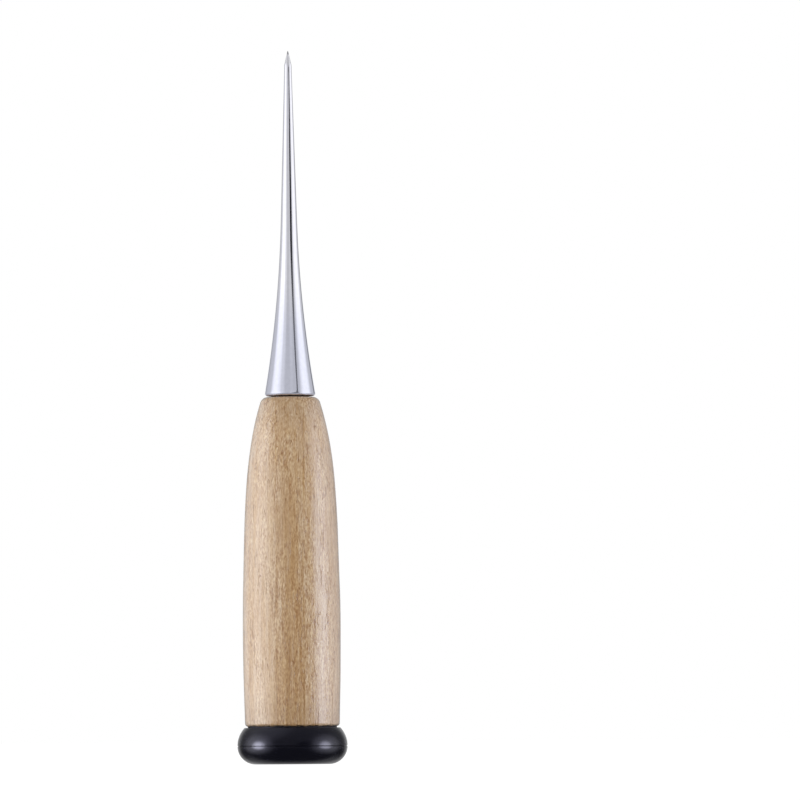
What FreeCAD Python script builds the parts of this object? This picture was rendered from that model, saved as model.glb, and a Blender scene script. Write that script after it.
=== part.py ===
"""Leatherworker's scratch awl with a flared steel spike, a turned beech handle and a moulded striking cap.

Frame: millimetres, +Z along the awl's axis towards the point, origin at the centre of the cap's flat
striking face. Every piece is turned or moulded round the same axis, so each is an outline in the XZ plane,
written as (radius, height) points, revolved about Z. Each piece is written to parts/NODE.step.
"""
import FreeCAD, Part
import math
import os

# --- Overall stack, heights above the striking face -------------------------------------------------
TOTAL_LENGTH = 165.0
CAP_HEIGHT = 8.45  # of the rim's upper edge
CAP_GAP = 0.25  # open line between the rim and the handle's end grain
HANDLE_BOTTOM = CAP_HEIGHT + CAP_GAP
HANDLE_TOP = 84.85
NECK_HEIGHT = 0.22  # the blade's shoulder stands this far off the wood
BLADE_BASE = HANDLE_TOP + NECK_HEIGHT

# --- Blade: ground point, slender taper, trumpet flare, neck and tang -------------------------------
TIP_RADIUS = 0.09
POINT_LENGTH = 3.1
POINT_RADIUS = 0.82  # where the ground point meets the polished taper
TAPER_END_Z = 125.5
TAPER_END_RADIUS = 1.9
BASE_RADIUS = 5.96  # of the flare's sharp corner, before it is rounded
BASE_ROUND = 0.6
NECK_RADIUS = 3.8
TANG_RADIUS = 2.5
TANG_END_RADIUS = 1.6
TANG_LENGTH = 39.5
TANG_POINT_LENGTH = 5.0
TANG_GROOVES = 5
TANG_GROOVE_PITCH = 6.0
TANG_FIRST_GROOVE = 4.5  # below the handle's top face
GROOVE_WIDTH = 1.2
GROOVE_DEPTH = 0.35

# --- Handle: outline stations (height, radius) each side of a cylindrical belly ----------------------
BELLY_RADIUS = 11.28
BELLY_BOTTOM = 24.0
BELLY_TOP = 38.0
TAIL_STATIONS = [(9.5, 10.97), (17.0, 11.13)]
NOSE_STATIONS = [(49.0, 10.98), (60.0, 10.57), (69.0, 9.85), (76.5, 8.72), (83.6, 6.93)]
HANDLE_BOTTOM_ROUND = 0.8
TANG_BORE_RADIUS = 2.6
TANG_BORE_DEPTH = 41.5
STEM_BORE_RADIUS = 4.1
STEM_BORE_DEPTH = 13.0
DRILL_HALF_ANGLE = math.radians(59.0)  # a 118 degree drill point

# --- Striking cap: two arcs that meet at the parting line, a raised seat and a stem --------------------
CAP_RADIUS = 12.73
PARTING_Z = 4.2
LOWER_ARC = 4.2
UPPER_ARC = 6.3
CAP_EDGE_ROUND = 0.3
SEAT_RADIUS = 10.3  # of the raised middle on which the handle's end grain stands
STEM_RADIUS = 4.0
STEM_TOP = 20.5
STEM_CHAMFER = 0.8
STEM_GROOVES = 3
STEM_GROOVE_PITCH = 3.0
STEM_FIRST_GROOVE = 2.2  # above the handle's end face


def at(radius, height):
    """A point of an outline, in the XZ plane."""
    return FreeCAD.Vector(radius, 0, height)


def line(start, end):
    return Part.LineSegment(start, end).toShape()


def arc(start, middle, end):
    return Part.Arc(start, middle, end).toShape()


def polyline(points):
    """Straight edges through a list of points."""
    return [line(a, b) for a, b in zip(points, points[1:])]


def point_on_circle(centre, radius, angle):
    return centre + FreeCAD.Vector(radius * math.cos(angle), 0, radius * math.sin(angle))


def arc_about(centre, radius, start_angle, end_angle):
    """An arc given by its centre and the angles of its two ends, in radians from +X towards +Z."""
    middle_angle = (start_angle + end_angle) / 2
    ends = [point_on_circle(centre, radius, a) for a in (start_angle, middle_angle, end_angle)]
    return arc(*ends)


def curve(points, start_tangent=None, end_tangent=None):
    """A smooth edge through points, with a set direction at either end or at neither."""
    spline = Part.BSplineCurve()
    options = {}
    if start_tangent is not None:
        options["InitialTangent"] = start_tangent
    if end_tangent is not None:
        options["FinalTangent"] = end_tangent
    spline.interpolate(points, **options)
    return spline.toShape()


def turned(edges):
    """The solid swept by a closed outline of edges turning once about Z."""
    outline = Part.Wire(Part.__sortEdges__(edges))
    solid = Part.Face(outline).revolve(FreeCAD.Vector(0, 0, 0), FreeCAD.Vector(0, 0, 1), 360)
    return solid if solid.Volume > 0 else solid.reversed()


def grooved_side(radius, first, pitch, count, width, depth, direction):
    """Outline points of a rod's side with V grooves, from `first` on, going up (+1) or down (-1)."""
    points = []
    for i in range(count):
        middle = first + direction * pitch * i
        points.append(at(radius, middle - direction * width / 2))
        points.append(at(radius - depth, middle))
        points.append(at(radius, middle + direction * width / 2))
    return points


def drilled_hole(radius, mouth, depth, direction):
    """The volume that a drill with a conical point takes out along Z, going up (+1) or down (-1)."""
    bottom = mouth + direction * depth
    point = bottom + direction * radius / math.tan(DRILL_HALF_ANGLE)
    corners = [at(0, mouth), at(radius, mouth), at(radius, bottom), at(0, point), at(0, mouth)]
    return turned(polyline(corners))


def point_edges():
    """The rounded tip and the ground point, and the shoulder where the polished taper begins."""
    shoulder = at(POINT_RADIUS, TOTAL_LENGTH - POINT_LENGTH)
    half_angle = math.atan(POINT_RADIUS / POINT_LENGTH)
    centre = at(0, TOTAL_LENGTH - TIP_RADIUS)
    tip_round = arc_about(centre, TIP_RADIUS, math.pi / 2, half_angle)
    tangent_point = point_on_circle(centre, TIP_RADIUS, half_angle)
    return [tip_round, line(tangent_point, shoulder)], shoulder


def flare_edges(shoulder):
    """The straight taper, the tangent arc of the flare and the round at its base."""
    taper_end = at(TAPER_END_RADIUS, TAPER_END_Z)
    slope = math.atan2(taper_end.x - shoulder.x, shoulder.z - taper_end.z)
    run = TAPER_END_Z - BLADE_BASE
    rise = BASE_RADIUS - TAPER_END_RADIUS
    flare_radius = (run**2 + rise**2) / (2 * (rise * math.cos(slope) - run * math.sin(slope)))
    flare_centre = taper_end + FreeCAD.Vector(math.cos(slope), 0, math.sin(slope)) * flare_radius
    round_z = BLADE_BASE + BASE_ROUND
    reach = flare_radius + BASE_ROUND
    round_r = flare_centre.x - math.sqrt(reach**2 - (flare_centre.z - round_z) ** 2)
    round_centre = at(round_r, round_z)
    meeting_slope = math.asin((flare_centre.z - round_z) / reach)
    flare = arc_about(flare_centre, flare_radius, math.pi + slope, math.pi + meeting_slope)
    base_round = arc_about(round_centre, BASE_ROUND, meeting_slope, -math.pi / 2)
    return [line(shoulder, taper_end), flare, base_round], at(round_r, BLADE_BASE)


def tang_edges(base):
    """The underside of the flare, the neck that seats on the wood, and the grooved tang."""
    tang_end = HANDLE_TOP - TANG_LENGTH
    grooves = grooved_side(
        TANG_RADIUS,
        HANDLE_TOP - TANG_FIRST_GROOVE,
        TANG_GROOVE_PITCH,
        TANG_GROOVES,
        GROOVE_WIDTH,
        GROOVE_DEPTH,
        -1,
    )
    return polyline(
        [base, at(NECK_RADIUS, BLADE_BASE), at(NECK_RADIUS, HANDLE_TOP), at(TANG_RADIUS, HANDLE_TOP)]
        + grooves
        + [at(TANG_RADIUS, tang_end + TANG_POINT_LENGTH), at(TANG_END_RADIUS, tang_end), at(0, tang_end)]
    )


def blade():
    """Spike, flare and tang: one turned and plated piece of steel."""
    tip, shoulder = point_edges()
    flare, base = flare_edges(shoulder)
    tang = tang_edges(base)
    axis_line = line(at(0, HANDLE_TOP - TANG_LENGTH), at(0, TOTAL_LENGTH))
    return turned(tip + flare + tang + [axis_line])


def handle_outline():
    """The handle's side: bottom round, tail, cylindrical belly, the nose that draws in, and its tangent round."""
    up = FreeCAD.Vector(0, 0, 1)
    tail = [at(r, z) for z, r in TAIL_STATIONS] + [at(BELLY_RADIUS, BELLY_BOTTOM)]
    nose = [at(BELLY_RADIUS, BELLY_TOP)] + [at(r, z) for z, r in NOSE_STATIONS]
    bottom_r = tail[0].x - HANDLE_BOTTOM_ROUND
    slant = math.sqrt(0.5) * HANDLE_BOTTOM_ROUND
    bottom_mid = at(bottom_r + slant, tail[0].z - slant * (tail[0].z - HANDLE_BOTTOM) / HANDLE_BOTTOM_ROUND)
    nose_edge = curve(nose, start_tangent=up)
    end_direction = nose_edge.tangentAt(nose_edge.LastParameter)
    lean = math.atan2(-end_direction.x, end_direction.z)
    top_round = (HANDLE_TOP - nose[-1].z) / (1 - math.sin(lean))
    top_centre = at(nose[-1].x - top_round * math.cos(lean), HANDLE_TOP - top_round)
    return [
        line(at(0, HANDLE_BOTTOM), at(bottom_r, HANDLE_BOTTOM)),
        arc(at(bottom_r, HANDLE_BOTTOM), bottom_mid, tail[0]),
        curve(tail, end_tangent=up),
        line(tail[-1], nose[0]),
        nose_edge,
        arc_about(top_centre, top_round, lean, math.pi / 2),
        line(at(top_centre.x, HANDLE_TOP), at(0, HANDLE_TOP)),
        line(at(0, HANDLE_TOP), at(0, HANDLE_BOTTOM)),
    ]


def tang_bore():
    return drilled_hole(TANG_BORE_RADIUS, HANDLE_TOP, TANG_BORE_DEPTH, -1)


def stem_bore():
    return drilled_hole(STEM_BORE_RADIUS, HANDLE_BOTTOM, STEM_BORE_DEPTH, 1)


def handle():
    """Turned beech with a blind bore at each end."""
    return turned(handle_outline()).cut(tang_bore()).cut(stem_bore())


def striking_cap():
    """Moulded cap: flat striking face, two-arc rim that meets at the parting line, a seat and a grooved stem."""
    lower_centre = at(CAP_RADIUS - LOWER_ARC, PARTING_Z)
    upper_centre = at(CAP_RADIUS - UPPER_ARC, PARTING_Z)
    edge_centre_z = CAP_HEIGHT - CAP_EDGE_ROUND
    edge_angle = math.asin((edge_centre_z - PARTING_Z) / (UPPER_ARC - CAP_EDGE_ROUND))
    edge_centre = point_on_circle(upper_centre, UPPER_ARC - CAP_EDGE_ROUND, edge_angle)
    stem_side = grooved_side(
        STEM_RADIUS,
        HANDLE_BOTTOM + STEM_FIRST_GROOVE,
        STEM_GROOVE_PITCH,
        STEM_GROOVES,
        GROOVE_WIDTH,
        GROOVE_DEPTH,
        1,
    )
    edges = [
        line(at(0, 0), at(lower_centre.x, 0)),
        arc_about(lower_centre, LOWER_ARC, -math.pi / 2, 0),
        arc_about(upper_centre, UPPER_ARC, 0, edge_angle),
        arc_about(edge_centre, CAP_EDGE_ROUND, edge_angle, math.pi / 2),
    ]
    edges += polyline(
        [at(edge_centre.x, CAP_HEIGHT), at(SEAT_RADIUS, CAP_HEIGHT)]
        + [at(SEAT_RADIUS, HANDLE_BOTTOM), at(STEM_RADIUS, HANDLE_BOTTOM)]
        + stem_side
        + [at(STEM_RADIUS, STEM_TOP - STEM_CHAMFER), at(STEM_RADIUS - STEM_CHAMFER, STEM_TOP)]
        + [at(0, STEM_TOP), at(0, 0)]
    )
    return turned(edges)


def tang_adhesive():
    """Cured epoxy that fills the bore round the tang and keys into its grooves."""
    return tang_bore().cut(blade())


def stem_adhesive():
    """Cured epoxy that fills the bore round the cap's stem."""
    return stem_bore().cut(striking_cap())


PIECES = {
    "blade": blade,
    "handle": handle,
    "striking_cap": striking_cap,
    "tang_adhesive": tang_adhesive,
    "stem_adhesive": stem_adhesive,
}


def main():
    os.makedirs("parts", exist_ok=True)
    for node, make in PIECES.items():
        shape = make()
        solids = shape.Solids
        if len(solids) != 1 or not shape.isValid():
            raise ValueError(f"{node} has {len(solids)} solids, valid: {shape.isValid()}")
        solids[0].exportStep(f"parts/{node}.step")
        size = solids[0].optimalBoundingBox()
        print(f"{node}: {solids[0].Volume:.1f} mm3, z {size.ZMin:.2f} to {size.ZMax:.2f}, width {size.XLength:.2f}")


main()
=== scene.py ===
"""The looks of the scratch awl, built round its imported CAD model.

Units are metres, in the CAD's frame: +Z along the awl towards its point, the cap's flat face at z = 0.
Each piece is turned from the outline of the CAD node that it replaces, at a finer step, and is then given
the small features that a real one has. The studio's azimuths are in degrees round Z, from the camera's side
of the awl and counted towards the right of the picture.
"""
import math

import bpy
import numpy as np
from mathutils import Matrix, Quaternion, Vector


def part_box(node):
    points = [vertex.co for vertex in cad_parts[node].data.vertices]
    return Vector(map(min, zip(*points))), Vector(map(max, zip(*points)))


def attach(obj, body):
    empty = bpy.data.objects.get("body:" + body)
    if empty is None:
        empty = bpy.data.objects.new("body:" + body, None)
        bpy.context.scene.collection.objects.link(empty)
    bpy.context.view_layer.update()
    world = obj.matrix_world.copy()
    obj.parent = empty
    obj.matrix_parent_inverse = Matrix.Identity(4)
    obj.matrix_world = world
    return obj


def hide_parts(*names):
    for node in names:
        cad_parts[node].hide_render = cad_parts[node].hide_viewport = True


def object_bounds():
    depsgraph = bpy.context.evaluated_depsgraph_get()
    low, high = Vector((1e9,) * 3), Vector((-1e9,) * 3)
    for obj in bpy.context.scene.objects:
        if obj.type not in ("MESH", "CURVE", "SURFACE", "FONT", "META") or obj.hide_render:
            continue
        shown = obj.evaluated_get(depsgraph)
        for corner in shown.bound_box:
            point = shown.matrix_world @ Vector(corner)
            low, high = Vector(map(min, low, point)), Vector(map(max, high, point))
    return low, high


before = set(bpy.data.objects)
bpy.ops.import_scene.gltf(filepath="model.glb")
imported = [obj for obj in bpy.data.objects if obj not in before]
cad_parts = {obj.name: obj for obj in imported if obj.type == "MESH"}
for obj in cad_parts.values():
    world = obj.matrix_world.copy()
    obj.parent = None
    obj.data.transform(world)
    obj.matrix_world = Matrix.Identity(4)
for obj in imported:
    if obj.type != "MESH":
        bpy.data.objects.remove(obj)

CAD_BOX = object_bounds()
MM = 0.001

# --- Places read from the frame ----------------------------------------------------------------------
CAP_FACE_Z = CAD_BOX[0].z
TIP_Z = CAD_BOX[1].z
LENGTH = TIP_Z - CAP_FACE_Z
HANDLE_LOW, HANDLE_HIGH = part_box("handle")
NECK_HEIGHT = 0.22 * MM  # between the wood and the flare
POINT_LENGTH = 3.1 * MM
BLADE_BASE_Z = HANDLE_HIGH.z + NECK_HEIGHT  # underside of the flare
GROUND_Z = TIP_Z - POINT_LENGTH  # where the ground point begins

# --- Meshes ------------------------------------------------------------------------------------------
STEP = 0.5 * MM  # along an outline
CAP_STEP = 0.2 * MM
SPIKE_SIDES = 160
GRIP_SIDES = 240
CAP_SIDES = 200
GLUE_SIDES = 96
SHARP_TURN = math.radians(25)  # an outline's turn above this is a real corner
LONG_LEG = 4  # a leg this many times its neighbour's length is a straight face, and stays straight
SMOOTH_ANGLE = math.radians(38)

# --- Small features. Waves are (size, times round, phase, cycles per metre of height) -----------------
SANDING_WAVES = [(0.008 * MM, 5, 0.4, 31), (0.006 * MM, 9, 2.1, -57), (0.005 * MM, 14, 4.0, 83)]
SANDED_OFF = 0.02 * MM  # keeps the waves inside the CAD's surface
CHIP_WAVES = [(0.5, 3, 1.2, 0), (0.4, 11, 0.3, 0), (0.4, 23, 2.2, 0), (0.35, 37, 5.1, 0), (0.3, 61, 0.7, 0)]
CHIP_DEPTH = 0.12 * MM
PARTING_HALF_WIDTH = 0.14 * MM
PARTING_DEPTH = 0.16 * MM
PARTING_LIP = 0.008 * MM  # how far the groove's edges lie under the rim

# --- Colours, linear. Two on one line are the ends that a noise mixes between, and a tint or a fleck
# multiplies the colour that is under it. -------------------------------------------------------------
WHITE = (1, 1, 1, 1)
COOL_WHITE = (0.80, 0.88, 1.0, 1)
BLUE_WHITE = (0.62, 0.75, 1.0, 1)
PLATED, PLATED_HAZY = (0.92, 0.92, 1.0, 1), (0.87, 0.87, 0.95, 1)
# painted reflection: a bluer tint for the lower flare, standing for the bluish surroundings that it reflects
FLARE_REFLECTION_TINT = (0.91, 0.93, 0.99, 1)
GROUND_DARK, GROUND_LIGHT = (0.82, 0.82, 0.87, 1), (0.94, 0.94, 1.0, 1)
# painted shade: the neck's near-black colours stand for the shade in the narrow gap between the wood and the
# flare
NECK_SHADE_DARK, NECK_SHADE_LIGHT = (0.055, 0.045, 0.045, 1), (0.12, 0.10, 0.095, 1)
POINT_GREY = (0.10, 0.10, 0.10, 1)
WOOD_DARKEST, WOOD_PALEST = (0.42, 0.22, 0.085, 1), (0.90, 0.73, 0.53, 1)
WOOD_BETWEEN = ((0.3, (0.575, 0.35, 0.165, 1)), (0.55, (0.70, 0.49, 0.30, 1)))
FLECK_DARK, FLECK_LIGHT = (0.70, 0.55, 0.42, 1), (1.30, 1.45, 1.58, 1)
GOLDEN_TINT = (0.98, 0.94, 0.85, 1)
RAY_BROWN = (0.33, 0.14, 0.045, 1)
# painted shade for both ends of the handle
END_SHADE_TINT = (0.86, 0.85, 0.84, 1)
# painted shade: the near-black brown of the shaded gap between the wood and the cap
GAP_SHADE_BROWN = (0.045, 0.022, 0.010, 1)
PLASTIC_DARK, PLASTIC_LIGHT = (0.0030, 0.0030, 0.0065, 1), (0.0058, 0.0058, 0.0105, 1)
PLASTIC_GLOSS = (0.78, 0.78, 1.0, 1)
SCUFF_GREY = (0.018, 0.018, 0.024, 1)
RESIN_DARK, RESIN_LIGHT = (0.55, 0.40, 0.17, 1), (0.70, 0.56, 0.30, 1)
BUBBLE = (0.80, 0.72, 0.52, 1)
FLOOR_GREY = (0.3, 0.3, 0.3, 1)
FLAG_BLACK = (0.02, 0.02, 0.025, 1)

# --- Camera, level with the cap and looking up to the awl's middle ------------------------------------
SENSOR = 36 * MM
CAMERA_DISTANCE = 2.3
CAMERA_HEIGHT = HANDLE_LOW.z * 0.8
VIEW_WIDTH = LENGTH * 185 / 165  # what the frame takes in at the awl
VIEW_MIDDLE = LENGTH * 0.509
AWL_LEFT_OF_CENTRE = 25.4 * MM  # how far the awl stands to the left of the frame's middle
ROLL = math.radians(0.416)

# --- Light: (azimuth, elevation, reach, edge, radiance), full within reach and fading out at the edge.
# A radiance below zero is a dark card. ---------------------------------------------------------------
FRONT_LIGHT = 0.53  # the even light from the front, back, above and below
SIDE_LIGHT = 0.78  # added towards both sides
LEFT_LIGHT = 0.10  # moved from the right to the left
ROOM_LEVEL = 0.2  # what every gloss sees level with the awl, away from the lamps
CEILING_LIGHT = 0.06  # added to the room overhead
BENCH_SHADE = -0.15  # added a little below level
UNDER_LIGHT = 0.35  # added far below, behind the awl
STEEL_FILL = 0.33  # added all round for the polished steel
STEEL_LAMPS = [
    (-72, 1, 12, 36, 0.60),
    (79, 1, 11, 39, 0.54),
    (-40, 8, 4, 22, 0.22),
    (9, 10, 2, 16, 0.09),
    (108, 0, 5, 30, 0.08),
    (-108, 0, 5, 30, 0.08),
    (148, 4, 2, 13, -0.38),
    (180, 4, 10, 34, 0.40),
    (-152, 4, 1, 9, -0.34),
]
WOOD_LAMPS = [
    (-76, 0, 15, 31, 2.2),
    (-40, 0, 4, 25, 1.1),
    (-104, 0, 15, 55, 1.3),
    (77, 0, 4, 28, 3.3),
    (98, 0, 5, 55, 1.0),
    (180, 0, 15, 60, 0.2),
]
CAP_LAMPS = [
    (-76, 0, 2, 19, 12.0),
    (-80, 0, 5, 45, 1.5),
    (-80, 50, 5, 50, 0.4),
    (180, 0, 12, 45, 0.55),
    (74, 0, 2, 19, 7.0),
    (78, 0, 5, 45, 1.3),
]
DOME_RADIUS = 4.0
DOME_GAP = 0.1  # between one dome and the next one in
FLOOR_REACH = 6.0
FLOOR_GAP = 0.02 * MM
FLOOR_GLOW = 0.85

# the flag's corners, (azimuth, height) at 1 m from the axis
FLAG_CORNERS = [
    (10, 0.0),
    (38, 0.0),
    (38, 0.12),
    (45, 0.17),
    (39, 0.26),
    (39, 0.50),
    (36, 0.50),
    (26, 0.34),
    (14, 0.26),
]


# --- Outlines and turned meshes ----------------------------------------------------------------------
def seam_outline(node):
    """A turned CAD node's outline: (radius, height) points up its seam, closed on to the axis."""
    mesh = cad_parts[node].data
    seam = {}
    for vertex in mesh.vertices:
        if abs(vertex.co.y) < 1e-7 and vertex.co.x > -1e-7:
            seam[vertex.index] = (round(vertex.co.x, 7), round(vertex.co.z, 7))
    neighbours = {point: set() for point in seam.values()}
    for edge in mesh.edges:
        a, b = (seam.get(i) for i in edge.vertices)
        if a and b and a != b:
            neighbours[a].add(b)
            neighbours[b].add(a)
    start = min(p for p in neighbours if len(neighbours[p]) == 1)
    chain = [start]
    while True:
        onward = [p for p in neighbours[chain[-1]] if p not in chain[-2:]]
        if not onward:
            break
        chain.append(onward[0])
    if chain[0][0] > 0:
        chain.insert(0, (0.0, chain[0][1]))
    if chain[-1][0] > 0:
        chain.append((0.0, chain[-1][1]))
    if chain[0][1] > chain[-1][1]:
        chain.reverse()
    return np.array(chain)


def smooth_run(points, step):
    """Points every `step` along a Catmull-Rom curve through a run of outline points."""
    before = 2 * points[0] - points[1]
    after = 2 * points[-1] - points[-2]
    padded = np.vstack([before, points, after])
    made = []
    for i in range(1, len(padded) - 2):
        p0, p1, p2, p3 = padded[i - 1 : i + 3]
        count = max(1, round(np.linalg.norm(p2 - p1) / step))
        # centripetal form, which doesn't overshoot where long and short steps meet
        t0 = 0.0
        t1 = t0 + math.sqrt(np.linalg.norm(p1 - p0))
        t2 = t1 + math.sqrt(np.linalg.norm(p2 - p1))
        t3 = t2 + math.sqrt(np.linalg.norm(p3 - p2))
        for t in np.linspace(t1, t2, count, endpoint=False):
            a1 = (t1 - t) / (t1 - t0) * p0 + (t - t0) / (t1 - t0) * p1
            a2 = (t2 - t) / (t2 - t1) * p1 + (t - t1) / (t2 - t1) * p2
            a3 = (t3 - t) / (t3 - t2) * p2 + (t - t2) / (t3 - t2) * p3
            b1 = (t2 - t) / (t2 - t0) * a1 + (t - t0) / (t2 - t0) * a2
            b2 = (t3 - t) / (t3 - t1) * a2 + (t - t1) / (t3 - t1) * a3
            made.append((t2 - t) / (t2 - t1) * b1 + (t - t1) / (t2 - t1) * b2)
    return made


def refined(outline, step):
    """The outline with its smooth runs resampled and its real corners kept."""
    legs = np.diff(outline, axis=0)
    headings = np.arctan2(legs[:, 1], legs[:, 0])
    turns = np.abs((np.diff(headings) + math.pi) % (2 * math.pi) - math.pi)
    lengths = np.linalg.norm(legs, axis=1)
    uneven = np.maximum(lengths[1:], lengths[:-1]) / np.minimum(lengths[1:], lengths[:-1]) > LONG_LEG
    inner = 1 + np.flatnonzero((turns > SHARP_TURN) | uneven)
    corners = [0, *inner, len(outline) - 1]
    made = []
    for a, b in zip(corners, corners[1:]):
        made += smooth_run(outline[a : b + 1], step)
    return np.array(made + [outline[-1]])


def turned(name, outline, sides, shape=None):
    """A closed mesh swept by an outline round Z. shape(radius, height, azimuth) may move its points."""
    rings = outline[1:-1]
    azimuth = np.arange(sides) * 2 * math.pi / sides
    radius = np.repeat(rings[:, 0], sides)
    height = np.repeat(rings[:, 1], sides)
    around = np.tile(azimuth, len(rings))
    if shape:
        radius, height = shape(radius, height, around)
    ring_points = np.column_stack([radius * np.cos(around), radius * np.sin(around), height])
    poles = [(0, 0, outline[0][1]), (0, 0, outline[-1][1])]
    first_pole, last_pole = len(ring_points), len(ring_points) + 1
    faces = []
    for j in range(sides):
        k = (j + 1) % sides
        last = (len(rings) - 1) * sides
        faces.append((first_pole, k, j))
        faces.append((last_pole, last + j, last + k))
        faces += [(i + j, i + k, i + sides + k, i + sides + j) for i in range(0, last, sides)]
    mesh = bpy.data.meshes.new(name)
    mesh.from_pydata(np.vstack([ring_points, poles]).tolist(), [], faces)
    mesh.validate()
    outward = sum(p.area * p.normal.dot(p.center) for p in mesh.polygons)
    if outward < 0:
        mesh.flip_normals()
    mesh.shade_smooth()
    mesh.set_sharp_from_angle(angle=SMOOTH_ANGLE)
    piece = bpy.data.objects.new(name, mesh)
    bpy.context.scene.collection.objects.link(piece)
    return piece


def waves(around, height, terms):
    """A smooth uneven field, the sum of (size, times round, phase, cycles per metre of height)."""
    total = 0.0
    for size, times, phase, pitch in terms:
        total = total + size * np.sin(times * around + phase + 2 * math.pi * pitch * height)
    return total


# --- Shader helpers ----------------------------------------------------------------------------------
class Nodes:
    """A small builder for one node tree: each method adds a node and gives back its output."""

    def __init__(self, tree):
        self.tree = tree
        tree.nodes.clear()

    def add(self, kind, inputs=None, **settings):
        node = self.tree.nodes.new(kind)
        for name, value in settings.items():
            setattr(node, name, value)
        for name, value in (inputs or {}).items():
            self.set(node.inputs[name], value)
        return node

    def set(self, socket, value):
        if isinstance(value, bpy.types.NodeSocket):
            self.tree.links.new(value, socket)
        else:
            socket.default_value = value

    def math(self, operation, a, b=0.0, c=0.0, clamp=False):
        node = self.add("ShaderNodeMath", {0: a, 1: b, 2: c}, operation=operation, use_clamp=clamp)
        return node.outputs[0]

    def range(self, value, low, high, to_low=0.0, to_high=1.0, smooth=False):
        kind = "SMOOTHSTEP" if smooth else "LINEAR"
        names = {"Value": value, "From Min": low, "From Max": high, "To Min": to_low, "To Max": to_high}
        return self.add("ShaderNodeMapRange", names, interpolation_type=kind).outputs["Result"]

    def mix(self, share, a, b, blend="MIX"):
        node = self.add("ShaderNodeMix", data_type="RGBA", blend_type=blend)
        self.set(node.inputs["Factor"], share)
        self.set(node.inputs["A"], a)
        self.set(node.inputs["B"], b)
        return node.outputs["Result"]

    def scaled(self, vector, scale, shift=(0, 0, 0)):
        """Coordinates in cells, where scale is cells per metre along each axis."""
        node = self.add("ShaderNodeMapping", {"Vector": vector, "Scale": scale, "Location": shift})
        return node.outputs["Vector"]

    def noise(self, vector, scale=1.0, detail=2.0, roughness=0.5, distortion=0.0):
        inputs = {
            "Vector": vector,
            "Scale": scale,
            "Detail": detail,
            "Roughness": roughness,
            "Distortion": distortion,
        }
        return self.add("ShaderNodeTexNoise", inputs).outputs["Fac"]

    def noise_vector(self, vector, detail=2.0):
        """Three independent noises, each centred on zero."""
        colour = self.add("ShaderNodeTexNoise", {"Vector": vector, "Scale": 1.0, "Detail": detail})
        centred = {0: colour.outputs["Color"], 1: (0.5, 0.5, 0.5)}
        return self.add("ShaderNodeVectorMath", centred, operation="SUBTRACT").outputs[0]

    def shifted(self, vector, noise, reach):
        """Coordinates moved by a noise vector times `reach` along each axis."""
        move = self.add("ShaderNodeVectorMath", {0: noise, 1: reach}, operation="MULTIPLY").outputs[0]
        return self.add("ShaderNodeVectorMath", {0: vector, 1: move}, operation="ADD").outputs[0]

    def weighted(self, total, noise, weight):
        """total plus a noise that swings about zero by its weight."""
        return self.math("MULTIPLY_ADD", self.math("SUBTRACT", noise, 0.5), weight, total)

    def bump(self, height, distance, strength=1.0, normal=None):
        inputs = {"Height": height, "Distance": distance, "Strength": strength}
        if normal is not None:
            inputs["Normal"] = normal
        return self.add("ShaderNodeBump", inputs).outputs["Normal"]


def new_material(name):
    material = bpy.data.materials.new(name)
    material.use_nodes = True
    nodes = Nodes(material.node_tree)
    surface = nodes.add("ShaderNodeBsdfPrincipled")
    output = nodes.add("ShaderNodeOutputMaterial")
    material.node_tree.links.new(surface.outputs["BSDF"], output.inputs["Surface"])
    place = nodes.add("ShaderNodeTexCoord").outputs["Object"]
    return material, nodes, surface.inputs, place


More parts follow.
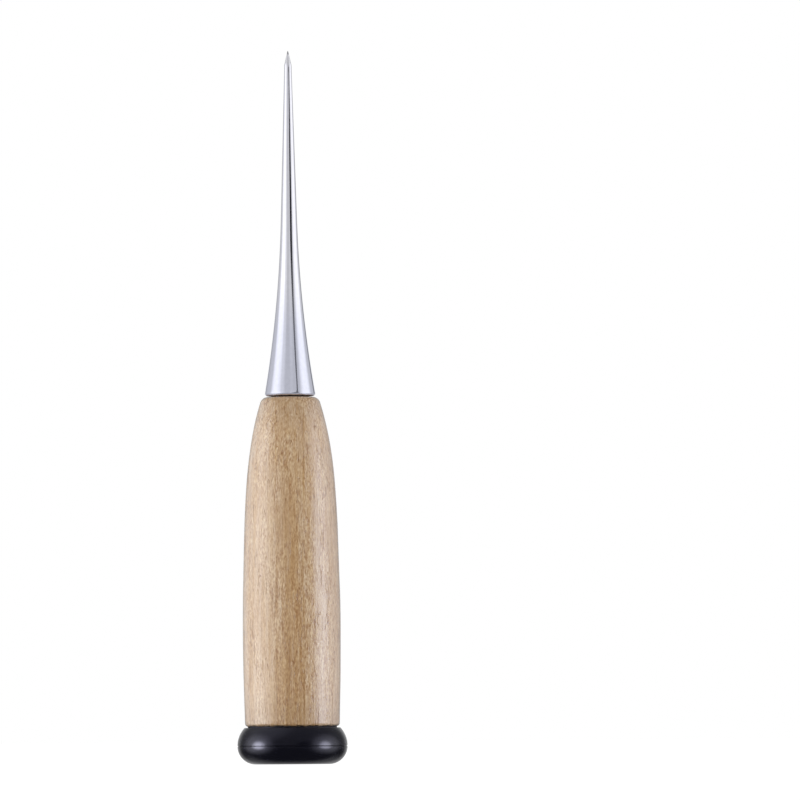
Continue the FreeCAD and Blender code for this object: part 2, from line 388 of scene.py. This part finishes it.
# --- Materials ---------------------------------------------------------------------------------------
def steel_material():
    """Bright plated polish with faint lines round it, a lightly ground point, a lower flare tinted bluer as
    a painted reflection, and a dull neck painted near-black as the shade in the gap under the flare.
    """
    material, nodes, surface, place = new_material("polished_steel")
    height = nodes.add("ShaderNodeSeparateXYZ", {"Vector": place}).outputs["Z"]

    # where the blade is ground, worn, tinted bluer low on the flare as a painted reflection, softly rounded
    # at the rim, and where the neck is painted dark as shade
    waver = nodes.noise(nodes.scaled(place, (900, 900, 200)), detail=1.0)
    wavering = nodes.math("MULTIPLY_ADD", waver, 1.4 * MM, height)
    ground = nodes.range(wavering, GROUND_Z + 0.4 * MM, GROUND_Z + 1.0 * MM, smooth=True)
    worn = nodes.range(height, TIP_Z - 1.0 * MM, TIP_Z - 0.4 * MM, 0.0, 0.75, smooth=True)
    flare_reflection = nodes.range(height, BLADE_BASE_Z + 27 * MM, BLADE_BASE_Z + 12 * MM, smooth=True)
    rim = nodes.range(height, BLADE_BASE_Z + 0.3 * MM, BLADE_BASE_Z + 0.9 * MM, 1.0, 0.0, smooth=True)
    # painted shade: the neck is darkened for the shaded gap under the flare, and it is also made rougher
    neck_shade = nodes.range(height, BLADE_BASE_Z + 0.02 * MM, BLADE_BASE_Z + 0.09 * MM, 1.0, 0.0, smooth=True)

    # marks of the lathe, of the grindstone and of the plating
    round_lines = nodes.noise(nodes.scaled(place, (60, 60, 9000)), detail=3.0, roughness=0.6)
    along_lines = nodes.noise(nodes.scaled(place, (9000, 9000, 300)), detail=3.0, roughness=0.6)
    haze = nodes.noise(nodes.scaled(place, (150, 150, 60)), detail=4.0, roughness=0.6)
    satin = nodes.noise(nodes.scaled(place, (1500, 1500, 1100), (2.9, 7.1, 4.3)), detail=2.0)

    plated = nodes.mix(nodes.weighted(haze, satin, 2.6), PLATED, PLATED_HAZY)
    # painted reflection: the lower flare's plating tinted bluer
    plated = nodes.mix(flare_reflection, plated, FLARE_REFLECTION_TINT, blend="MULTIPLY")
    colour = nodes.mix(ground, plated, nodes.mix(along_lines, GROUND_DARK, GROUND_LIGHT))
    colour = nodes.mix(worn, colour, POINT_GREY)
    colour = nodes.mix(neck_shade, colour, nodes.mix(round_lines, NECK_SHADE_DARK, NECK_SHADE_LIGHT))
    nodes.set(surface["Base Color"], colour)
    surface["Metallic"].default_value = 1.0
    rough = nodes.range(haze, 0.3, 0.7, 0.035, 0.07)
    for where, added in ((ground, 0.16), (rim, 0.25), (neck_shade, 0.3)):
        rough = nodes.math("MULTIPLY_ADD", where, added, rough)
    nodes.set(surface["Roughness"], rough)
    round_bump = nodes.bump(round_lines, 0.0006 * MM)
    ground_height = nodes.math("MULTIPLY", along_lines, ground)
    nodes.set(surface["Normal"], nodes.bump(ground_height, 0.012 * MM, normal=round_bump))
    return material


def beech_material():
    """Pale beech under satin lacquer. Its grain runs up the handle."""
    material, nodes, surface, place = new_material("beech")

    # the grain's slow wander
    drift = nodes.noise_vector(nodes.scaled(place, (70, 70, 16)), detail=2.0)
    quiver = nodes.noise_vector(nodes.scaled(place, (600, 600, 300)), detail=1.0)
    layered = nodes.shifted(place, drift, (0.7 * MM, 0.7 * MM, 0))
    grain = nodes.shifted(place, drift, (2.0 * MM, 2.0 * MM, 0))
    grain = nodes.shifted(grain, quiver, (0.4 * MM, 0.4 * MM, 0))

    # growth layers upright across X: a darker heart with a core, both stronger low down, and late lines
    parts = nodes.add("ShaderNodeSeparateXYZ", {"Vector": layered}).outputs
    layers = nodes.noise(nodes.scaled(layered, (430, 45, 7)), detail=1.0)

    def layer(left, left_edge, right_edge, right):
        """1 from left_edge to right_edge across X, in millimetres, fading out to left and right."""
        rise = nodes.range(parts["X"], left * MM, left_edge * MM, smooth=True)
        fall = nodes.range(parts["X"], right_edge * MM, right * MM, 1.0, 0.0, smooth=True)
        return nodes.math("MULTIPLY", rise, fall)

    low_down = nodes.range(parts["Z"], HANDLE_HIGH.z - 14 * MM, HANDLE_LOW.z + 14 * MM)
    heart = nodes.math("MULTIPLY", layer(-3.6, -3.1, 4.8, 6.0), low_down)
    core = nodes.math("MULTIPLY", layer(-1.6, -1.2, 2.9, 3.3), low_down)
    late_lines = layer(-10.1, -9.9, -9.7, -9.5)
    for limits in ((-3.6, -3.45, -3.35, -3.2), (2.8, 2.95, 3.1, 3.3)):
        late_lines = nodes.math("ADD", late_lines, layer(*limits))

    # fibres from broad streaks down to the finest fleck of light, and a few dark open vessels
    streaks = nodes.noise(nodes.scaled(grain, (1000, 1000, 40)), detail=3.0, roughness=0.6)
    fibres = nodes.noise(nodes.scaled(grain, (4200, 4200, 1250)), detail=1.0)
    strands = nodes.noise(nodes.scaled(grain, (3800, 3800, 330), (2.2, 9.4, 7.7)), detail=1.0)
    threads = nodes.noise(nodes.scaled(grain, (2500, 2500, 60), (6.3, 2.8, 0.4)), detail=1.0)
    course = nodes.noise(nodes.scaled(grain, (1000, 1000, 75), (3.1, 8.2, 1.7)), detail=1.0)
    vessels = nodes.range(nodes.math("ABSOLUTE", nodes.math("SUBTRACT", course, 0.5)), 0.0, 0.02, 1.0, 0.0)
    broken = nodes.noise(nodes.scaled(grain, (600, 600, 170), (5.5, 0.3, 9.1)), detail=1.0)
    vessels = nodes.math("MULTIPLY", vessels, nodes.range(broken, 0.49, 0.58, smooth=True))
    patchy = nodes.noise(nodes.scaled(grain, (400, 400, 110), (0.9, 3.3, 2.6)), detail=1.0)
    late_lines = nodes.math("MULTIPLY", late_lines, nodes.range(patchy, 0.42, 0.60, smooth=True))

    # the wood's tone from dark to pale, and its colour
    tone = 0.48
    for where, added in ((heart, -0.04), (core, -0.16), (vessels, -0.7), (late_lines, -0.25)):
        tone = nodes.math("MULTIPLY_ADD", where, added, tone)
    for swing, weight in ((layers, 0.30), (streaks, 0.45), (threads, 0.45)):
        tone = nodes.weighted(tone, swing, weight)
    ramp = nodes.add("ShaderNodeValToRGB", {"Fac": tone})
    stops = ramp.color_ramp.elements
    stops[0].position, stops[0].color = 0.0, WOOD_DARKEST
    stops[1].position, stops[1].color = 1.0, WOOD_PALEST
    for position, between in WOOD_BETWEEN:
        stops.new(position).color = between
    golden = nodes.noise(nodes.scaled(grain, (700, 700, 30), (1.7, 4.8, 6.6)), detail=1.0)
    golden = nodes.range(golden, 0.45, 0.65, smooth=True)
    colour = nodes.mix(golden, ramp.outputs["Color"], GOLDEN_TINT, blend="MULTIPLY")

    # fine flecks, stronger in some places than in others
    lively = nodes.noise(nodes.scaled(grain, (330, 330, 50), (4.4, 6.1, 0.8)), detail=1.0)
    lively = nodes.range(lively, 0.4, 0.6, 0.6, 1.15, smooth=True)
    flecks = nodes.weighted(nodes.weighted(0.0, fibres, 1.85), strands, 1.1)
    flecks = nodes.math("MULTIPLY_ADD", flecks, lively, 0.5)
    colour = nodes.mix(1.0, colour, nodes.mix(flecks, FLECK_DARK, FLECK_LIGHT), blend="MULTIPLY")

    # rays: thin plates across Y and Z, seen end on as short brown spindles at the front and back
    short_rays = nodes.noise(nodes.scaled(grain, (2300, 230, 420)), detail=1.0, roughness=0.4)
    long_place = nodes.scaled(grain, (1700, 240, 150), (7.3, 2.1, 4.4))
    long_rays = nodes.noise(long_place, detail=1.0, roughness=0.4)
    short_rays = nodes.range(short_rays, 0.68, 0.77, smooth=True)
    long_rays = nodes.range(long_rays, 0.71, 0.79, smooth=True)
    spindles = nodes.math("MAXIMUM", short_rays, long_rays)
    colour = nodes.mix(nodes.math("MULTIPLY", spindles, 0.5), colour, RAY_BROWN)

    # both ends painted a little darker as shade, and painted shade in patches along the lower edge,
    # near-black brown where it meets the cap
    top_shade = nodes.range(parts["Z"], HANDLE_HIGH.z - 8 * MM, HANDLE_HIGH.z - 2 * MM, smooth=True)
    low_shade = nodes.range(parts["Z"], HANDLE_LOW.z + 9 * MM, HANDLE_LOW.z + 2 * MM, smooth=True)
    # painted shade: the last few millimetres at each end are darkened
    ends = nodes.math("MULTIPLY", nodes.math("ADD", top_shade, low_shade), 0.75)
    colour = nodes.mix(ends, colour, END_SHADE_TINT, blend="MULTIPLY")
    # painted shade in patches along the wood's lower edge, where it meets the cap
    gap_shade = nodes.noise(nodes.scaled(place, (800, 800, 800), (3.7, 1.9, 5.2)), detail=2.0)
    gap_shade = nodes.range(gap_shade, 0.40, 0.60, 0.15, 0.95, smooth=True)
    gap_edge = nodes.range(parts["Z"], HANDLE_LOW.z + 0.42 * MM, HANDLE_LOW.z + 0.20 * MM, smooth=True)
    colour = nodes.mix(nodes.math("MULTIPLY", gap_shade, gap_edge), colour, GAP_SHADE_BROWN)
    nodes.set(surface["Base Color"], colour)

    nodes.set(surface["Roughness"], nodes.range(fibres, 0.3, 0.7, 0.38, 0.50))
    surface["IOR"].default_value = 1.5
    surface["Coat Weight"].default_value = 1.0
    surface["Coat Roughness"].default_value = 0.14
    surface["Coat IOR"].default_value = 1.5
    surface["Sheen Weight"].default_value = 0.25
    surface["Sheen Roughness"].default_value = 0.35
    relief = nodes.math("MULTIPLY_ADD", spindles, -0.7, fibres)
    relief = nodes.math("MULTIPLY_ADD", vessels, -0.6, relief)
    nodes.set(surface["Normal"], nodes.bump(relief, 0.06 * MM))
    nodes.set(surface["Coat Normal"], nodes.bump(relief, 0.04 * MM))
    return material


def plastic_material():
    """Near black plastic with a fine moulded skin, light scuffs near the striking face and a dull seat."""
    material, nodes, surface, place = new_material("black_plastic")
    height = nodes.add("ShaderNodeSeparateXYZ", {"Vector": place}).outputs["Z"]
    skin = nodes.noise(nodes.scaled(place, (2600, 2600, 2600)), detail=3.0, roughness=0.55)
    flow = nodes.noise(nodes.scaled(place, (160, 160, 420)), detail=3.0, roughness=0.55)
    scuff_noise = nodes.noise(nodes.scaled(place, (1500, 1500, 600)), detail=5.0, roughness=0.7)
    low = nodes.range(height, CAP_FACE_Z, CAP_FACE_Z + 1.2 * MM, 1.0, 0.0, smooth=True)
    scuffs = nodes.math("MULTIPLY", nodes.range(scuff_noise, 0.5, 0.72), low)
    colour = nodes.mix(flow, PLASTIC_DARK, PLASTIC_LIGHT)
    nodes.set(surface["Base Color"], nodes.mix(nodes.math("MULTIPLY", scuffs, 0.5), colour, SCUFF_GREY))
    rough = nodes.range(flow, 0.3, 0.7, 0.18, 0.23)
    rough = nodes.math("MULTIPLY_ADD", scuffs, 0.15, rough)
    seat = nodes.range(height, HANDLE_LOW.z - 0.3 * MM, HANDLE_LOW.z - 0.2 * MM, smooth=True)
    nodes.set(surface["Roughness"], nodes.math("MULTIPLY_ADD", seat, 0.5, rough))
    surface["IOR"].default_value = 1.5
    surface["Specular Tint"].default_value = PLASTIC_GLOSS
    nodes.set(surface["Normal"], nodes.bump(nodes.math("MULTIPLY_ADD", flow, 1.5, skin), 0.004 * MM))
    return material


def epoxy_material():
    """Cured amber resin, cloudy, with small trapped bubbles."""
    material, nodes, surface, place = new_material("epoxy")
    cloud = nodes.noise(nodes.scaled(place, (500, 500, 300)), detail=4.0, roughness=0.6)
    bubbles = nodes.add("ShaderNodeTexVoronoi", {"Vector": place, "Scale": 1600.0}).outputs["Distance"]
    bubble_edge = nodes.range(bubbles, 0.12, 0.2, smooth=True)
    colour = nodes.mix(cloud, RESIN_DARK, RESIN_LIGHT)
    nodes.set(surface["Base Color"], nodes.mix(bubble_edge, BUBBLE, colour))
    nodes.set(surface["Roughness"], nodes.range(cloud, 0.3, 0.7, 0.25, 0.4))
    nodes.set(surface["Normal"], nodes.bump(bubble_edge, 0.03 * MM))
    return material


# --- Pieces ------------------------------------------------------------------------------------------
def finished(piece, node, material):
    """What every piece gets: its material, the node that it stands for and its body."""
    piece.data.materials.append(material)
    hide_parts(node)
    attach(piece, "root")
    return piece


def make_spike():
    outline = refined(seam_outline("blade"), STEP)
    spike = turned("spike", outline, SPIKE_SIDES)
    return finished(spike, "blade", steel_material())


def worn_handle(radius, height, around):
    """The wood's surface: a faint sanded waviness, and a lower edge that broke unevenly off the lathe."""
    outside = np.clip((radius - 5 * MM) / (3 * MM), 0, 1)
    radius = radius + (waves(around, height, SANDING_WAVES) - SANDED_OFF) * outside
    chips = np.clip(waves(around, height, CHIP_WAVES), 0, 1)
    near_edge = np.clip(1 - (height - HANDLE_LOW.z) / (0.7 * MM), 0, 1) * np.clip(radius / MM - 9.3, 0, 1)
    return radius, height + CHIP_DEPTH * chips * near_edge


def make_handle():
    outline = refined(seam_outline("handle"), STEP)
    grip = turned("grip", outline, GRIP_SIDES, worn_handle)
    return finished(grip, "handle", beech_material())


def with_parting_line(outline):
    """The cap's outline with the fine groove where the two halves of its mould met."""
    widest = np.argmax(outline[:, 0])
    rim, parting_z = outline[widest]
    keep = (np.abs(outline[:, 1] - parting_z) > PARTING_HALF_WIDTH) | (outline[:, 0] < 0.9 * rim)
    keep[0] = keep[-1] = True
    groove = [
        (rim - PARTING_LIP, parting_z - PARTING_HALF_WIDTH),
        (rim - PARTING_DEPTH, parting_z - 0.3 * PARTING_HALF_WIDTH),
        (rim - PARTING_DEPTH, parting_z + 0.3 * PARTING_HALF_WIDTH),
        (rim - PARTING_LIP, parting_z + PARTING_HALF_WIDTH),
    ]
    below = [point for point, kept in zip(outline[:widest], keep[:widest]) if kept]
    above = [point for point, kept in zip(outline[widest:], keep[widest:]) if kept]
    return np.array([*below, *groove, *above])


def make_cap():
    outline = with_parting_line(refined(seam_outline("striking_cap"), CAP_STEP))
    cap = turned("butt_cap", outline, CAP_SIDES)
    return finished(cap, "striking_cap", plastic_material())


def make_adhesives():
    material = epoxy_material()
    for node, name in (("tang_adhesive", "tang_glue"), ("stem_adhesive", "stem_glue")):
        layer = turned(name, refined(seam_outline(node), STEP), GLUE_SIDES)
        finished(layer, node, material)


# --- Stage -------------------------------------------------------------------------------------------
def direction(azimuth, elevation=0.0):
    """The unit vector from the awl towards a place in the studio."""
    a, e = math.radians(azimuth), math.radians(elevation)
    return Vector((math.sin(a) * math.cos(e), -math.cos(a) * math.cos(e), math.sin(e)))


def make_camera():
    data = bpy.data.cameras.new("camera")
    data.sensor_width = SENSOR / MM
    camera = bpy.data.objects.new("camera", data)
    camera.location = (AWL_LEFT_OF_CENTRE, -CAMERA_DISTANCE, CAP_FACE_Z + CAMERA_HEIGHT)
    target = Vector((AWL_LEFT_OF_CENTRE, 0, CAP_FACE_Z + VIEW_MIDDLE))
    sight = target - camera.location
    data.lens = data.sensor_width * sight.length / VIEW_WIDTH
    data.clip_start = 0.1
    data.clip_end = 50
    turn = sight.to_track_quat("-Z", "Y") @ Quaternion((0, 0, 1), -ROLL)
    camera.rotation_euler = turn.to_euler()
    bpy.context.scene.collection.objects.link(camera)
    bpy.context.scene.camera = camera


def make_world():
    """White behind the awl, even light for its surfaces, and a dimmer room in its reflections."""
    world = bpy.data.worlds.new("studio")
    world.use_nodes = True
    nodes = Nodes(world.node_tree)
    toward = nodes.add("ShaderNodeTexCoord").outputs["Generated"]
    toward = nodes.add("ShaderNodeSeparateXYZ", {"Vector": toward}).outputs
    upward, backward = toward["Z"], toward["Y"]
    ceiling = nodes.range(upward, 0.05, 0.75, 0.0, CEILING_LIGHT, smooth=True)
    bench = nodes.range(upward, -0.03, -0.22, 0.0, BENCH_SHADE, smooth=True)
    under = nodes.range(upward, -0.35, -0.7, 0.0, UNDER_LIGHT, smooth=True)
    under = nodes.math("MULTIPLY", under, nodes.range(backward, 0.3, 0.65, smooth=True))
    room = nodes.math("ADD", nodes.math("ADD", ceiling, bench), nodes.math("ADD", under, ROOM_LEVEL))
    sideways = nodes.math("MULTIPLY", toward["X"], toward["X"])
    even_light = nodes.math("MULTIPLY_ADD", toward["X"], -LEFT_LIGHT, FRONT_LIGHT)
    even_light = nodes.math("MULTIPLY_ADD", sideways, SIDE_LIGHT, even_light)
    path = nodes.add("ShaderNodeLightPath").outputs
    seen = nodes.mix(path["Is Diffuse Ray"], room, even_light)
    seen = nodes.mix(path["Is Camera Ray"], seen, WHITE)
    background = nodes.add("ShaderNodeBackground", {"Color": seen, "Strength": 1.0})
    output = nodes.add("ShaderNodeOutputWorld")
    world.node_tree.links.new(background.outputs[0], output.inputs["Surface"])
    world.cycles.sampling_method = "NONE"
    bpy.context.scene.world = world


def make_floor():
    """A pale floor just under the cap, clear from below."""
    z = CAP_FACE_Z - FLOOR_GAP
    signs = ((-1, -1), (1, -1), (1, 1), (-1, 1))
    mesh = bpy.data.meshes.new("floor")
    mesh.from_pydata([(a * FLOOR_REACH, b * FLOOR_REACH, z) for a, b in signs], [], [(0, 1, 2, 3)])
    floor = bpy.data.objects.new("floor", mesh)
    bpy.context.scene.collection.objects.link(floor)
    material, nodes, surface, _ = new_material("floor")
    surface["Base Color"].default_value = FLOOR_GREY
    surface["Roughness"].default_value = 1.0
    surface["Specular IOR Level"].default_value = 0.0
    surface["Emission Color"].default_value = WHITE
    surface["Emission Strength"].default_value = FLOOR_GLOW
    tree = material.node_tree
    solid = tree.nodes["Principled BSDF"].outputs["BSDF"]
    clear = nodes.add("ShaderNodeBsdfTransparent").outputs["BSDF"]
    underside = nodes.add("ShaderNodeNewGeometry").outputs["Backfacing"]
    one_sided = nodes.add("ShaderNodeMixShader", {0: underside, 1: solid, 2: clear}).outputs["Shader"]
    tree.links.new(one_sided, tree.nodes["Material Output"].inputs["Surface"])
    material.cycles.emission_sampling = "NONE"
    mesh.materials.append(material)
    floor.visible_glossy = False
    floor.visible_shadow = False
    floor.visible_diffuse = False


def seen_in_gloss_only(thing):
    thing.visible_camera = False
    thing.visible_diffuse = False
    thing.visible_shadow = False


def make_dome(name, size, lit, tints, fill, lamps):
    """Soft lamps on a clear dome, seen only in the gloss of the piece that they light.

    tints are the light's colours from the left and from the right.
    """
    bpy.ops.mesh.primitive_uv_sphere_add(segments=64, ring_count=32, radius=size)
    dome = bpy.context.object
    dome.name = name
    material = bpy.data.materials.new(name)
    material.use_nodes = True
    nodes = Nodes(material.node_tree)
    place = nodes.add("ShaderNodeTexCoord").outputs["Object"]
    outward = nodes.add("ShaderNodeVectorMath", {0: place}, operation="NORMALIZE").outputs[0]
    rightward = nodes.add("ShaderNodeSeparateXYZ", {"Vector": outward}).outputs["X"]
    tint = nodes.mix(nodes.range(rightward, -0.3, 0.3), *tints)
    level = fill
    for azimuth, elevation, reach, edge, radiance in lamps:
        ends = {0: outward, 1: direction(azimuth, elevation)}
        facing = nodes.add("ShaderNodeVectorMath", ends, operation="DOT_PRODUCT").outputs["Value"]
        limits = math.cos(math.radians(edge)), math.cos(math.radians(reach))
        level = nodes.math("MULTIPLY_ADD", nodes.range(facing, *limits, smooth=True), radiance, level)
    glow = nodes.add("ShaderNodeEmission", {"Color": tint, "Strength": level})
    clear = nodes.add("ShaderNodeBsdfTransparent")
    both = nodes.add("ShaderNodeAddShader", {0: glow.outputs[0], 1: clear.outputs[0]})
    output = nodes.add("ShaderNodeOutputMaterial")
    material.node_tree.links.new(both.outputs[0], output.inputs["Surface"])
    material.cycles.emission_sampling = "NONE"
    dome.data.materials.append(material)
    seen_in_gloss_only(dome)
    receivers = bpy.data.collections.new(name)
    receivers.objects.link(lit)
    dome.light_linking.receiver_collection = receivers


def make_flag():
    """The dark wedge, paler upwards, that draws the thin line down the steel."""
    points = [direction(azimuth) + Vector((0, 0, z)) for azimuth, z in FLAG_CORNERS]
    mesh = bpy.data.meshes.new("flag")
    mesh.from_pydata([tuple(p) for p in points], [], [tuple(range(len(points)))])
    flag = bpy.data.objects.new("flag", mesh)
    bpy.context.scene.collection.objects.link(flag)
    material, nodes, surface, place = new_material("flag")
    surface["Base Color"].default_value = FLAG_BLACK
    surface["Roughness"].default_value = 1.0
    surface["Emission Color"].default_value = WHITE
    height = nodes.add("ShaderNodeSeparateXYZ", {"Vector": place}).outputs["Z"]
    nodes.set(surface["Emission Strength"], nodes.range(height, 0.27, 0.35, 0.0, 0.13))
    mesh.materials.append(material)
    seen_in_gloss_only(flag)


def main():
    make_camera()
    spike = make_spike()
    grip = make_handle()
    cap = make_cap()
    make_adhesives()
    make_world()
    make_floor()
    make_dome("steel_lamps", DOME_RADIUS, spike, (WHITE, WHITE), STEEL_FILL, STEEL_LAMPS)
    make_dome("wood_lamps", DOME_RADIUS - DOME_GAP, grip, (COOL_WHITE, BLUE_WHITE), 0.0, WOOD_LAMPS)
    make_dome("cap_lamps", DOME_RADIUS - 2 * DOME_GAP, cap, (WHITE, WHITE), 0.0, CAP_LAMPS)
    make_flag()
    view = bpy.context.scene.view_settings
    view.view_transform = "Standard"
    view.look = "None"


main()
